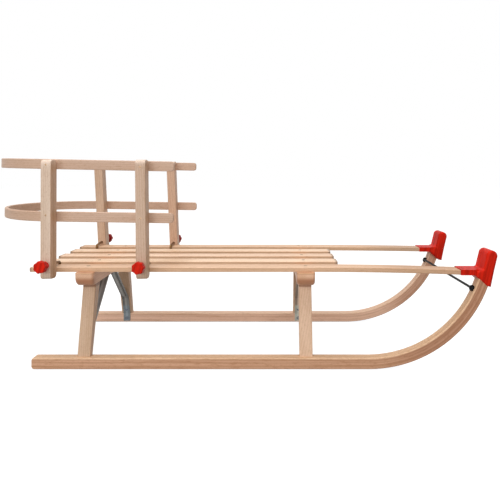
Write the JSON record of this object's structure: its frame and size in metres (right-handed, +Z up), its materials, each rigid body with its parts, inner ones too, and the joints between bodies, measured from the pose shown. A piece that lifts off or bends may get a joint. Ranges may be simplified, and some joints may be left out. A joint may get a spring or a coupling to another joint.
{
  "type": "wooden sled with a clamp-on backrest",
  "caption": "Slatted wooden child's sled with upturned steel-shod runners, plastic tip caps, a tow rod and a bent-wood backrest clamped to the seat rails.",
  "frame": {"origin": "on the ground under the middle of the overall length, between the runners: the underside of the steel shoes is Z = 0, and X = 0 lies half way between the backrest's rear bend and the fronts of the caps", "axes": "+X to the front (the upturned tips), +Y to the sled's left, +Z up"},
  "size_m": [1.1379, 0.4246, 0.4529],
  "materials": {
    "seat_wood": "clear-varnished beech",
    "runner_wood": "clear-varnished beech, end to end bent",
    "backrest_wood": "clear-varnished beech",
    "red_plastic": "satin moulded red",
    "zinc_steel": "dull zinc-plated sheet",
    "shoe_steel": "worn bright strip",
    "black_steel": "black",
    "yellow_zinc": "yellow-passivated steel"
  },
  "bodies": {
    "sled": {"runner_left": "runner_wood", "runner_right": "runner_wood", "shoe_left": "shoe_steel", "shoe_right": "shoe_steel", "leg_rear_left": "seat_wood", "leg_rear_right": "seat_wood", "leg_front_left": "seat_wood", "leg_front_right": "seat_wood", "crossbar_rear": "seat_wood", "crossbar_front": "seat_wood", "rail_left": "seat_wood", "rail_right": "seat_wood", "slat_left": "seat_wood", "slat_middle": "seat_wood", "slat_right": "seat_wood", "cap_left": "red_plastic", "cap_right": "red_plastic", "tow_rod": "black_steel", "strap_rear_left": "zinc_steel", "strap_rear_right": "zinc_steel", "strap_front_left": "zinc_steel", "strap_front_right": "zinc_steel"},
    "backrest": {"post_rear_left": "backrest_wood", "post_rear_right": "backrest_wood", "post_front_left": "backrest_wood", "post_front_right": "backrest_wood", "hoop_upper": "backrest_wood", "hoop_lower": "backrest_wood", "hook_bolt_rear_left": "yellow_zinc", "hook_bolt_rear_right": "yellow_zinc", "hook_bolt_front_left": "yellow_zinc", "hook_bolt_front_right": "yellow_zinc", "knob_rear_left": "red_plastic", "knob_rear_right": "red_plastic", "knob_front_left": "red_plastic", "knob_front_right": "red_plastic"}
  },
  "joints": [
    {"name": "backrest_slide", "type": "slide", "parent": "sled", "child": "backrest", "axis": [1, 0, 0], "range_m": [-0.03, 0.04]}
  ]
}
